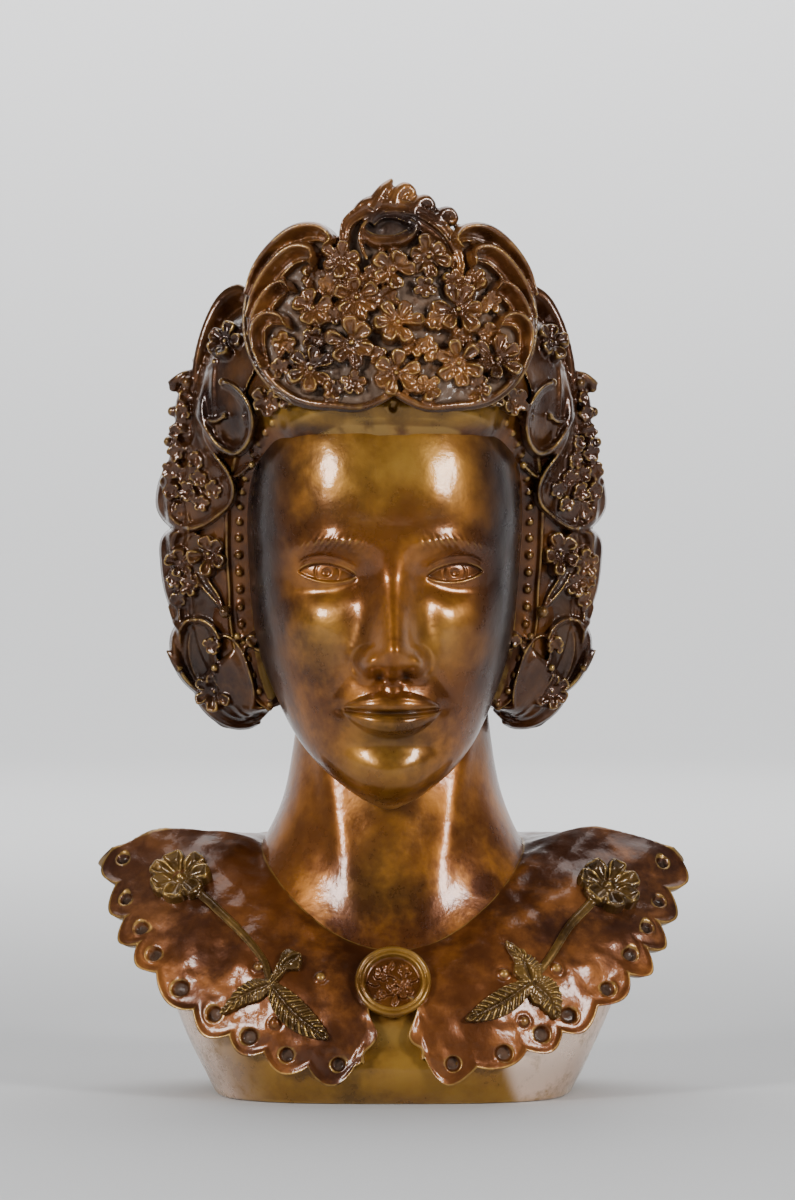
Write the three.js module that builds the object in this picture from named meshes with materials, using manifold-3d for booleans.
// A life-size bronze bust of a woman in a tall flower-covered headdress and a scalloped lace
// collar, cast in one piece and standing on its own flat base.
// Millimetres, +Z up. The face looks along -Y. The origin is on the base plane, at the middle of
// the bust's width and depth.
import * as THREE from "three";
import { mergeVertices } from "three/addons/utils/BufferGeometryUtils.js";
import Module from "manifold-3d";

const wasm = await Module();
wasm.setup();
const V = (x, y, z) => new THREE.Vector3(x, y, z);
const DEGREE = Math.PI / 180;

// Base and trunk
const baseHalfWidth = 88;
const baseFront = 77;
const baseBack = 66;
const baseSquareness = 3.2;
const trunkBulge = 5;
// Moves the finished bust so that the origin is at the middle of its depth.
const depthShift = 6.2;

// Collar. A share of it runs 0..1 from the neckline to the hem.
const collarHalfWidth = 141;
const collarFront = 90;
const collarBack = 84;
const hemFrontHeight = 12;
const hemSideHeight = 119;
const hemBackHeight = 62;
const collarThickness = 5;
const collarBulge = 10;
const lapelGapAngle = 8;
const scallopCount = 40;
const scallopDepth = 0.075;
const trunkShare = 0.84;

// Sprays on the collar: degrees from the front, and share.
const bloom = { degrees: 62, share: 0.58, radius: 17, petals: 8 };
const joint = { degrees: 36, share: 0.68 };
const leafTips = [[31, 0.42], [53, 0.92], [17, 0.86]];
const leafThickness = 7;
const stemRadius = 2.4;
const stemBow = 0.1;

// Brooch
const broochShare = 0.3;
const broochRadius = 18.5;
const broochThickness = 9;
const broochRim = 1.8;
// Flowers in it: x, height above its middle, radius.
const broochFlowers = [[-5, 4, 6], [4, -5, 7]];

// Neckline and neck
const necklineHalfWidth = 64;
const necklineFront = 58;
const necklineBack = 60;
const necklineFrontHeight = 74;
const necklineBackHeight = 128;
const neckHalfWidth = 47;
const neckHalfDepth = 49;
const neckCentre = 8;
const neckTopHeight = 228;
const neckFlare = 3.2;
const cordHeight = 2.6;

// Head. Heights of features are above the chin.
const headShift = -5;
const headTurn = 3;
const chinHeight = 149;
const jawRise = 33;
const chinFoldHeight = 26;
const mouthHeight = 41;
const mouthHalfWidth = 25;
const nostrilHeight = 66;
const cheekHeight = 82;
const eyeHeight = 108;
const eyeSpacing = 31;
const browHeight = 122;

// Headdress
const hoodCentreHeight = 262;
const openingHalfWidth = 66;
const openingRise = 70;
const openingDrop = 93;
const openingSquareness = 3.2;
const hoodBack = 100;
const hoodColumns = 40;
const beadColumns = 120;
const beadShare = 0.06;
const beadHeight = 3;
const beadsFrom = 38;
const beadsTo = 142;
const lobeThickness = 10;
const lobeHollow = 6;
const lobeRoundness = 0.5;
// Angles of each lobe's two ends, shares of its middle there, and half its width as a share.
const lobes = [
  { from: 21, to: 58, middleShare: [0.8, 0.5], halfShare: 0.42 },
  { from: 46, to: 81, middleShare: [0.95, 0.66], halfShare: 0.5 },
  { from: 80, to: 112, middleShare: [0.76, 0.86], halfShare: 0.42 },
  { from: 107, to: 144, middleShare: [0.95, 0.7], halfShare: 0.48 },
];
// Flowers on one side of the hood: distance from the middle, height, radius.
const sideFlowers = [[84, 366, 9], [64, 337, 8], [94, 308, 12], [88, 266, 12], [78, 197, 11]];
const flowerLift = 1.5;

// Crest
const crestCentreHeight = 380;
const crestFront = 99;
const crestCurve = 95;
const crestLean = 0.16;
const crestThickness = 14;
const crestRoot = 70;
const crestColumns = 48;
const rimHeight = 3.4;
const fluteCount = 5;
const flutesFrom = 30;
const flutesTo = 142.5;
const fluteHeight = 7;
const fluteSweep = 75;
const voluteHeight = 416;
const voluteRadius = 17;
// Flowers of the crest: x, height, radius.
const crestFlowers = [
  [1, 377, 13], [-22, 366, 12], [0, 351, 12], [29, 382, 13], [28, 356, 12], [-42, 353, 12],
  [-43, 381, 11], [-20, 389, 11.5], [48, 359, 11], [-25, 409, 10], [22, 405, 11],
];
// Curls on top: x, height, size.
const finialCurls = [[-9, 438, 8], [5, 436, 7], [16, 430, 6]];

const bronze = new THREE.MeshStandardMaterial({ color: 0x6b3a17, roughness: 0.3, metalness: 0.85 });

// A smooth curve through stations [position, value], level beyond its ends.
function curve(stations) {
  return (x) => {
    const last = stations.length - 1;
    if (x <= stations[0][0]) return stations[0][1];
    if (x >= stations[last][0]) return stations[last][1];
    const i = stations.findIndex((s, k) => k < last && x < stations[k + 1][0]);
    const slope = (k) => {
      const a = stations[Math.max(k - 1, 0)];
      const b = stations[Math.min(k + 1, last)];
      return (b[1] - a[1]) / (b[0] - a[0]);
    };
    const [x0, y0] = stations[i];
    const [x1, y1] = stations[i + 1];
    const h = x1 - x0;
    const t = (x - x0) / h;
    const rest = 1 - t;
    return (
      (1 + 2 * t) * rest * rest * y0 +
      t * rest * rest * h * slope(i) +
      t * t * (3 - 2 * t) * y1 +
      t * t * (t - 1) * h * slope(i + 1)
    );
  };
}

const bell = (d, width) => Math.exp(-((d / width) ** 2));
const smooth = (a, b, x) => THREE.MathUtils.smoothstep(x, a, b);
const mix = THREE.MathUtils.lerp;
const power = (x, p) => Math.sign(x) * Math.abs(x) ** p;

// Degrees from the front, -180..180.
function angleFromFront(angle) {
  const degrees = (angle / DEGREE) % 360;
  if (degrees > 180) return degrees - 360;
  return degrees < -180 ? degrees + 360 : degrees;
}

// Geometry to solid: only positions, with shared corners merged.
function toSolid(geometry) {
  geometry.deleteAttribute("normal");
  geometry.deleteAttribute("uv");
  const merged = mergeVertices(geometry, 1e-4);
  const vertProperties = merged.attributes.position.array;
  const triVerts = new Uint32Array(merged.index.array);
  return new wasm.Manifold(new wasm.Mesh({ numProp: 3, vertProperties, triVerts }));
}

// Faces to solid. A skin that came out facing inwards is turned round.
function indexed(points, faces) {
  const geometry = new THREE.BufferGeometry().setFromPoints(points);
  geometry.setIndex(faces);
  const solid = toSolid(geometry);
  if (solid.volume() > 0) return solid;
  geometry.setIndex(faces.toReversed());
  return toSolid(geometry);
}

const middle = (points) => points.reduce((sum, p) => sum.add(p), V(0, 0, 0)).divideScalar(points.length);
const ringOf = (count, at) => Array.from({ length: count }, (_, i) => at((2 * Math.PI * i) / count));

// A closed skin over rings of points, each of any number, joined by their share of the way round
// and, where those are level, by the shorter diagonal. The last ring's middle stands out by height.
function loft(rings, height = 0) {
  const points = rings.flat();
  const faces = [];
  let first = 0;
  for (let k = 0; k + 1 < rings.length; k++) {
    const [n, m] = [rings[k].length, rings[k + 1].length];
    const next = first + n;
    for (let i = 0, j = 0; i < n || j < m; ) {
      const [a, b] = [first + (i % n), next + (j % m)];
      const [nextA, nextB] = [first + ((i + 1) % n), next + ((j + 1) % m)];
      const lead = (i + 1) / n - (j + 1) / m;
      const shorter = points[nextA].distanceTo(points[b]) < points[nextB].distanceTo(points[a]);
      if (j >= m || (i < n && (lead < -1e-9 || (lead < 1e-9 && shorter)))) {
        faces.push(a, nextA, b);
        i++;
      } else {
        faces.push(a, nextB, b);
        j++;
      }
    }
    first = next;
  }
  const ends = [middle(rings[0]), middle(rings.at(-1))];
  ends[1].addScaledVector(ends[1].clone().sub(ends[0]).normalize(), height);
  const [n, m, tip] = [rings[0].length, rings.at(-1).length, points.length];
  for (let i = 0; i < n; i++) faces.push((i + 1) % n, i, tip);
  for (let i = 0; i < m; i++) faces.push(first + i, first + ((i + 1) % m), tip + 1);
  return indexed([...points, ...ends], faces);
}

// A thick sheet: outer(u, v) and inner(u, v) are its two skins, with u and v from 0 to 1.
function sheet(outer, inner, columns, rows) {
  const points = [];
  const at = (side, i, j) => side * (columns + 1) * (rows + 1) + j * (columns + 1) + i;
  for (const skin of [outer, inner]) {
    for (let j = 0; j <= rows; j++) {
      for (let i = 0; i <= columns; i++) points.push(skin(i / columns, j / rows));
    }
  }
  const faces = [];
  const quad = (a, b, c, d) => faces.push(a, b, c, a, c, d);
  for (let j = 0; j < rows; j++) {
    for (let i = 0; i < columns; i++) {
      quad(at(0, i, j), at(0, i + 1, j), at(0, i + 1, j + 1), at(0, i, j + 1));
      quad(at(1, i, j), at(1, i, j + 1), at(1, i + 1, j + 1), at(1, i + 1, j));
    }
  }
  for (let i = 0; i < columns; i++) {
    quad(at(1, i, 0), at(1, i + 1, 0), at(0, i + 1, 0), at(0, i, 0));
    quad(at(0, i, rows), at(0, i + 1, rows), at(1, i + 1, rows), at(1, i, rows));
  }
  for (let j = 0; j < rows; j++) {
    quad(at(0, 0, j), at(0, 0, j + 1), at(1, 0, j + 1), at(1, 0, j));
    quad(at(1, columns, j), at(1, columns, j + 1), at(0, columns, j + 1), at(0, columns, j));
  }
  return indexed(points, faces);
}

// A round bar along points, with a radius for each share 0..1 of its length.
function bar(points, radius, sides, steps) {
  const path = new THREE.CatmullRomCurve3(points);
  const frames = path.computeFrenetFrames(steps, false);
  const rings = [];
  for (let k = 0; k <= steps; k++) {
    const t = k / steps;
    const centre = path.getPointAt(t);
    const spoke = (angle) => {
      const out = frames.normals[k].clone().multiplyScalar(Math.cos(angle));
      return out.addScaledVector(frames.binormals[k], Math.sin(angle));
    };
    rings.push(ringOf(sides, (angle) => spoke(angle).multiplyScalar(radius(t)).add(centre)));
  }
  return loft(rings);
}

// A flower of round petals with a short stalk, lying on a surface with the given normal.
function flower(centre, normal, radius, petals, spin) {
  const turn = new THREE.Quaternion().setFromUnitVectors(V(0, 0, 1), normal);
  const ring = (pointsPerPetal, tip, notch) =>
    ringOf(petals * pointsPerPetal, (angle) => {
      const step = Math.round((angle * petals * pointsPerPetal) / (2 * Math.PI));
      const [reach, lift] = step % pointsPerPetal === 0 ? notch : tip;
      const p = V(reach * Math.cos(angle + spin), reach * Math.sin(angle + spin), lift);
      return p.multiplyScalar(radius).applyQuaternion(turn).add(centre);
    });
  const stalk = ring(1, [0.4, -0.7], [0.4, -0.7]);
  const edge = ring(3, [1, 0.22], [0.68, 0.05]);
  const crown = ring(2, [0.6, 0.38], [0.36, 0.16]);
  return loft([stalk, edge, crown], 0.1 * radius);
}

// Trunk, collar and neck. Angle 0 is the front and 90 degrees is the +X side.
function neckline(angle) {
  const [s, c] = [Math.sin(angle), Math.cos(angle)];
  const depth = c > 0 ? necklineFront : necklineBack;
  const rise = ((1 + c) / 2) ** 3;
  return V(necklineHalfWidth * s, -depth * c, mix(necklineBackHeight, necklineFrontHeight, rise));
}

function hem(angle) {
  const [s, c] = [Math.sin(angle), Math.cos(angle)];
  const depth = c > 0 ? collarFront : collarBack;
  const low = c > 0 ? hemFrontHeight : hemBackHeight;
  return V(collarHalfWidth * s, -depth * c, mix(hemSideHeight, low, Math.abs(c)));
}

function collarSkin(angle, share) {
  const c = Math.cos(angle);
  const swell = collarBulge * 4 * share * (1 - share);
  const bulge = V(0, -0.9 * swell * c, swell * (1 - 0.45 * Math.abs(c)));
  return neckline(angle).lerp(hem(angle), share).add(bulge);
}

function collarNormal(angle, share) {
  const step = 0.01;
  const along = collarSkin(angle + step, share).sub(collarSkin(angle - step, share));
  const down = collarSkin(angle, share + step).sub(collarSkin(angle, share - step));
  return down.cross(along).normalize();
}

function onCollar(angle, share, lift) {
  return collarSkin(angle, share).addScaledVector(collarNormal(angle, share), lift);
}

// How far the collar is there, 0 or 1: it is open at the front between its two lapels.
function cover(angle) {
  return smooth(lapelGapAngle - 1, lapelGapAngle + 1, Math.abs(angleFromFront(angle)));
}

function scallopedReach(angle) {
  const bump = Math.abs(Math.sin((scallopCount * angle) / 2)) ** 0.7;
  return mix(trunkShare, 1 + scallopDepth * (bump - 0.4), cover(angle));
}

function trunkPoint(angle, t) {
  const [s, c] = [Math.sin(angle), Math.cos(angle)].map((x) => power(x, 2 / baseSquareness));
  const foot = V(baseHalfWidth * s, -(c > 0 ? baseFront : baseBack) * c, 0);
  const swell = trunkBulge * 4 * t * (1 - t);
  const top = onCollar(angle, trunkShare, -collarThickness);
  return foot.lerp(top, t).add(V(swell * Math.sin(angle), -swell * Math.cos(angle), 0));
}

// The neck, with two cords that run from behind the ears to the notch between the collar bones.
function neckPoint(angle, t) {
  const [s, c] = [Math.sin(angle), Math.cos(angle)];
  const foot = neckline(angle);
  const flare = (1 - t) ** neckFlare;
  const cord = cordHeight * bell(Math.abs(angleFromFront(angle)) - (12 + 58 * t), 11);
  const x = mix(neckHalfWidth + cord, necklineHalfWidth - collarThickness, flare) * s;
  const y = mix(neckCentre - (neckHalfDepth + cord) * c, foot.y + collarThickness * c, flare);
  return V(x, y, mix(foot.z - collarThickness, neckTopHeight, t));
}

// Trunk, collar and neck in one skin: up the trunk, out under the collar to its scalloped hem,
// back over the collar to the neckline, and up the neck.
function body() {
  const hemColumns = 3 * scallopCount;
  const sunk = (angle) => -collarThickness * (1 - cover(angle));
  const lace = (columns, share) => ringOf(columns, (angle) => onCollar(angle, share, sunk(angle)));
  return loft([
    ...[0, 0.45, 1].map((t) => ringOf(32, (angle) => trunkPoint(angle, t))),
    ringOf(hemColumns, (angle) => onCollar(angle, scallopedReach(angle), -collarThickness)),
    ringOf(hemColumns, (angle) => onCollar(angle, scallopedReach(angle), 0.9 * sunk(angle))),
    lace(64, 0.72),
    lace(48, 0.34),
    lace(40, 0),
    ...[0, 0.12, 0.3, 0.6, 1].map((t) => ringOf(28, (angle) => neckPoint(angle, t))),
  ]);
}

// On each side an open flower on a long stem, which springs from three leaves.
function collarSpray(side) {
  const at = (degrees, share, lift) => onCollar(side * degrees * DEGREE, share, lift);
  const stem = [0, 0.33, 0.66, 1].map((t) => {
    const bow = stemBow * Math.sin(Math.PI * t);
    return at(mix(joint.degrees, bloom.degrees, t), mix(joint.share, bloom.share, t) - bow, 1);
  });
  const leaf = ([degrees, share]) => {
    const rib = [0, 0.5, 1].map((t) => at(mix(joint.degrees, degrees, t), mix(joint.share, share, t), 0));
    return bar(rib, (t) => leafThickness * (0.12 + 0.88 * Math.sin(Math.PI * (0.1 + 0.85 * t))), 4, 4);
  };
  const normal = collarNormal(side * bloom.degrees * DEGREE, bloom.share);
  const head = flower(at(bloom.degrees, bloom.share, 0.5), normal, bloom.radius, bloom.petals, 0);
  return [head, bar(stem, () => stemRadius, 4, 4), ...leafTips.map(leaf)];
}

// A disc with a raised rim and two flowers in it, lying between the lapels as the chest slopes.
function brooch() {
  const hollow = -broochRim / 3;
  const profile = [
    [0, -broochThickness], [broochRadius, -broochThickness], [broochRadius, 0],
    [broochRadius - broochRim, broochRim], [broochRadius - 2 * broochRim, broochRim],
    [broochRadius - 3 * broochRim, hollow], [0, hollow],
  ];
  const disc = new THREE.LatheGeometry(profile.map(([r, y]) => new THREE.Vector2(r, y)), 18);
  const outward = collarNormal(0, broochShare);
  const place = new THREE.Matrix4();
  place.makeRotationFromQuaternion(new THREE.Quaternion().setFromUnitVectors(V(0, 1, 0), outward));
  place.setPosition(onCollar(0, broochShare, 2));
  const spray = broochFlowers.map(([x, up, radius]) => {
    return flower(V(x, hollow, -up).applyMatrix4(place), outward, radius, 5, x);
  });
  return [toSolid(disc.applyMatrix4(place)), ...spray];
}

// Head. Stations are [height above the chin, size].
const faceHalfWidth = curve([
  [-7, 12], [-4, 24], [0, 33], [6, 42], [14, 49], [28, 55], [48, 60], [75, 64], [105, 67], [150, 69],
  [178, 65], [196, 52],
]);
const faceDepth = curve([
  [-7, 60], [-4, 73], [0, 80], [7, 86], [18, 88.5], [50, 89.5], [104, 89], [120, 93], [142, 95], [165, 92],
  [183, 85], [196, 72],
]);
const headBack = curve([[0, 12], [40, 30], [90, 82], [196, 80]]);
const noseRise = curve([
  [54, 0], [57, 3], [60, 12], [64, 19], [70, 23], [76, 21], [88, 15], [100, 9.5], [110, 5.5], [120, 1],
  [128, 0],
]);
const noseHalfWidth = curve([[54, 13], [66, 14], [76, 11.5], [88, 9], [104, 8.5], [120, 11]]);

// How far the face stands out of the plain head at x from its middle and h above the chin.
function faceRelief(x, h) {
  const side = Math.abs(x);
  const nose = noseRise(h) * Math.exp(-((side / noseHalfWidth(h)) ** 2.6));
  const nostrils = 6.5 * bell(side - 13, 5) * bell(h - nostrilHeight, 5.5);
  const sockets = -8.5 * bell(side - eyeSpacing + 1, 15) * bell(h - eyeHeight + 1, 11);
  const innerCorners = -3.5 * bell(side - eyeSpacing / 2, 6.5) * bell(h - eyeHeight, 9);
  const eyes = 6 * bell(side - eyeSpacing, 11.5) * bell(h - eyeHeight, 7);
  const brows = 2.4 * bell(side - 27, 19) * bell(h - browHeight, 5.5);
  const cheeks = 3.2 * bell(side - 42, 17) * bell(h - cheekHeight, 16);
  const muzzle = 4.5 * bell(x, 26) * bell(h - mouthHeight, 17);
  const lipShare = Math.max(0, 1 - (side / mouthHalfWidth) ** 2);
  const upperLip = 3.6 * lipShare * bell(h - mouthHeight - 4.5, 4);
  const lowerLip = 4.6 * lipShare * bell(h - mouthHeight + 5.5, 4.6);
  const mouthLine = -3 * bell(side, 17) * bell(h - mouthHeight, 1.8);
  const chinFold = -4.5 * bell(x, 19) * bell(h - chinFoldHeight, 6);
  const chin = 3.4 * bell(x, 15) * bell(h - 11, 10);
  const lips = muzzle + upperLip + lowerLip + mouthLine;
  return nose + nostrils + sockets + innerCorners + eyes + brows + cheeks + lips + chinFold + chin;
}

function headPoint(turn, h) {
  const squareness = 2 + 0.45 * smooth(20, 120, h);
  const [s, c] = [Math.sin(turn), Math.cos(turn)].map((x) => power(x, 2 / squareness));
  const x = faceHalfWidth(h) * s;
  const relief = faceRelief(x, h) * smooth(0, 0.35, c);
  const y = c > 0 ? -faceDepth(h) * c - relief : -headBack(h) * c;
  const rise = jawRise * (1 - smooth(5, 90, h)) * (1 - Math.max(c, 0)) ** 1.5;
  return V(x, y, chinHeight + h + rise);
}

function head() {
  const heights = [
    -7, -3, 2, 9, 17, 25, 32, 36, 40.5, 45, 50, 57, 61, 66, 72, 81, 93, 102, 109, 116, 124, 145, 194,
  ];
  const frontColumns = 26;
  const turns = [];
  for (let i = -frontColumns / 2; i < frontColumns / 2; i++) {
    const u = i / (frontColumns / 2);
    turns.push((Math.PI / 2) * (0.62 * u + 0.38 * u ** 3));
  }
  turns.push(Math.PI / 2, Math.PI);
  return loft(heights.map((h) => turns.map((turn) => headPoint(turn, h))));
}

// Headdress. The hood is laid out as seen from the front: an angle about its centre, with 0 up
// and +90 towards +X, and a share that runs 0..1 from the face opening to the outline and 1..2
// from the outline to the middle of the back. Stations are [degrees, size].
const hoodOutline = curve([
  [0, 144], [26, 144], [34, 142], [49, 124], [57, 115], [71, 105], [80, 100], [98, 96], [113, 101],
  [129, 103], [138, 101], [143, 84], [154, 66], [180, 60],
]);
const openingDepth = curve([[0, -93], [28, -84], [46, -56], [62, -30], [85, -14], [140, -8], [180, -8]]);
const outlineDepth = curve([[0, 5], [40, 8], [80, 20], [140, 22], [180, 30]]);

function openingRadius(angle) {
  const across = Math.abs(Math.sin(angle)) / openingHalfWidth;
  const up = Math.abs(Math.cos(angle)) / (Math.cos(angle) > 0 ? openingRise : openingDrop);
  const n = openingSquareness;
  return Math.min((across ** n + up ** n) ** (-1 / n), hoodOutline(Math.abs(angleFromFront(angle))) - 4);
}

function hoodSkin(angle, share) {
  const degrees = Math.abs(angleFromFront(angle));
  const edge = openingRadius(angle);
  const [front, side] = [openingDepth(degrees), outlineDepth(degrees)];
  const a = (Math.min(share, 1) * Math.PI) / 2;
  const b = (Math.max(share - 1, 0) * Math.PI) / 2;
  const radius = mix(edge, hoodOutline(degrees), Math.sin(a)) * Math.cos(b) ** 0.75;
  const y = mix(front, side, 1 - Math.cos(a)) + (hoodBack - side) * Math.sin(b);
  return V(radius * Math.sin(angle), y, hoodCentreHeight + radius * Math.cos(angle));
}

function hoodNormal(angle, share) {
  const step = 0.01;
  const around = hoodSkin(angle + step, share).sub(hoodSkin(angle - step, share));
  const back = hoodSkin(angle, share + step).sub(hoodSkin(angle, share - step));
  return around.cross(back).normalize();
}

const onHood = (angle, share, lift) => hoodSkin(angle, share).addScaledVector(hoodNormal(angle, share), lift);

// The hood's angle and share under a point (x, z) seen from the front.
function underPoint(x, z) {
  const angle = Math.atan2(x, z - hoodCentreHeight);
  const edge = openingRadius(angle);
  const outline = hoodOutline(Math.abs(angleFromFront(angle)));
  const reach = (Math.hypot(x, z - hoodCentreHeight) - edge) / (outline - edge);
  return [angle, (Math.asin(THREE.MathUtils.clamp(reach, 0, 1)) * 2) / Math.PI];
}

// The hood, with a string of beads beside the opening.
function hood() {
  const plain = (share, columns = hoodColumns) => ringOf(columns, (angle) => hoodSkin(angle, share));
  const beaded = ringOf(beadColumns, (angle) => {
    const degrees = Math.abs(angleFromFront(angle));
    const odd = Math.round((degrees * beadColumns) / 360) % 2;
    const there = odd && degrees > beadsFrom && degrees < beadsTo;
    return onHood(angle, beadShare, there ? beadHeight : 0);
  });
  const front = [plain(0), beaded, ...[2 * beadShare, 0.35, 0.68, 1, 1.35].map((share) => plain(share))];
  return loft([...front, plain(1.65, 24), plain(1.88, 16)]);
}

// A lobe of the hood: a raised, leaf-shaped plate between two angles, hollowed inside its rim.
function lobe({ from, to, middleShare, halfShare }, side) {
  const angleOf = (u) => side * mix(from, to, u) * DEGREE;
  const shareOf = (u, v) => {
    const half = halfShare * Math.max(Math.sin(Math.PI * u), 0.1) ** lobeRoundness;
    return mix(...middleShare, u) + half * (2 * v - 1);
  };
  const hollow = (u, v) => lobeHollow * smooth(0, 0.12, u * (1 - u)) * smooth(0, 0.25, v * (1 - v));
  const top = (u, v) => onHood(angleOf(u), shareOf(u, v), lobeThickness - hollow(u, v));
  const bottom = (u, v) => onHood(angleOf(u), shareOf(u, v), -lobeThickness);
  return sheet(top, bottom, 5, 2);
}

function hoodFlower(x, z, radius) {
  const [angle, share] = underPoint(x, z);
  const centre = onHood(angle, share, lobeThickness - lobeHollow + flowerLift);
  return flower(centre, hoodNormal(angle, share), radius, 5, x);
}

// Crest. Seen from the front, an angle about its centre, 0 up, and a share 0..1 of its outline,
// which is an arch at the top, a notch on each side of it and a broad shell below.
const crestOutline = curve([
  [0, 60], [15, 57], [22, 53], [30, 43], [37, 50], [45, 62], [60, 66], [83, 69], [107, 68], [128, 62],
  [149, 50], [180, 41],
]);

function atCrest(x, z, lift) {
  return V(x, -crestFront + (x * x) / (2 * crestCurve) + crestLean * (z - crestCentreHeight) - lift, z);
}

function onCrest(angle, share, lift) {
  const radius = crestOutline(Math.abs(angleFromFront(angle))) * share;
  return atCrest(radius * Math.sin(angle), crestCentreHeight + radius * Math.cos(angle), lift);
}

// The crest's front stands up in flutes that sweep from its rim up and in to the flower field.
function crest() {
  const fluteAngle = (flutesTo - flutesFrom) / fluteCount;
  const fluted = (share, lift, height) =>
    ringOf(crestColumns, (angle) => {
      const degrees = Math.abs(angleFromFront(angle));
      const end = smooth(flutesTo, flutesTo + 20, degrees);
      const there = smooth(flutesFrom - 5, flutesFrom + 5, degrees) * (1 - end);
      const ridge = Math.abs(Math.sin((Math.PI * (degrees - flutesFrom)) / fluteAngle)) ** 0.7;
      const sweep = fluteSweep * smooth(flutesFrom, flutesFrom + 60, degrees) * (1 - end) * (1 - share);
      const turn = Math.sign(angleFromFront(angle)) * sweep * DEGREE;
      return onCrest(angle - turn, share, lift + height * there * ridge);
    });
  return loft([
    ringOf(16, (angle) => onCrest(angle, 0.4, -crestRoot)),
    ringOf(crestColumns, (angle) => onCrest(angle, 0.88, -crestThickness)),
    ringOf(crestColumns, (angle) => onCrest(angle, 1, -rimHeight)),
    fluted(0.97, rimHeight, 0),
    fluted(0.87, 0, fluteHeight),
    fluted(0.7, 0, fluteHeight),
    ringOf(24, (angle) => onCrest(angle, 0.6, 0)),
  ]);
}

// The spiral volute in the arch.
function volute() {
  const points = [];
  for (let k = 0; k <= 7; k++) {
    const a = (-60 + (k / 7) * 330) * DEGREE;
    const reach = voluteRadius * (1 - (k / 7) * 0.55);
    points.push(atCrest(-1.1 * reach * Math.sin(a), voluteHeight + 0.8 * reach * Math.cos(a), 1));
  }
  return bar(points, (t) => 4.5 - 2 * t, 4, 8);
}

// A small curl on top of the arch, rolled towards +X.
function curl(x, z, size) {
  const points = [];
  for (let k = 0; k <= 5; k++) {
    const a = (k / 5) * 250 * DEGREE;
    const reach = size * (1 - 0.5 * (k / 5));
    points.push(atCrest(x + size - reach * Math.cos(a), z + reach * Math.sin(a), 1));
  }
  return bar(points, (t) => size * (0.55 - 0.2 * t), 4, 3);
}

// The head and all that it wears are made straight, then turned together.
function dressedHead() {
  const parts = [head(), hood(), crest(), volute()];
  for (const [x, z, size] of finialCurls) parts.push(curl(x, z, size));
  for (const [x, z, radius] of crestFlowers) {
    parts.push(flower(atCrest(x, z, 4), V(0, -1, 0), radius, 5, x + z));
  }
  for (const side of [1, -1]) {
    for (const shape of lobes) parts.push(lobe(shape, side));
    for (const [x, z, radius] of sideFlowers) parts.push(hoodFlower(side * x, z, radius));
  }
  return wasm.Manifold.union(parts).rotate([0, 0, headTurn]).translate([headShift, 0, 0]);
}

function bust() {
  const parts = [body(), ...collarSpray(1), ...collarSpray(-1), ...brooch(), dressedHead()];
  return wasm.Manifold.union(parts).translate([0, depthShift, 0]);
}

function meshOf(solid, name) {
  const { vertProperties, triVerts } = solid.getMesh();
  const geometry = new THREE.BufferGeometry();
  geometry.setAttribute("position", new THREE.BufferAttribute(vertProperties, 3));
  geometry.setIndex(new THREE.BufferAttribute(triVerts, 1));
  geometry.computeVertexNormals();
  const mesh = new THREE.Mesh(geometry, bronze);
  mesh.name = name;
  return mesh;
}

const group = new THREE.Group();
group.add(meshOf(bust(), "bronze_bust"));
export default group;
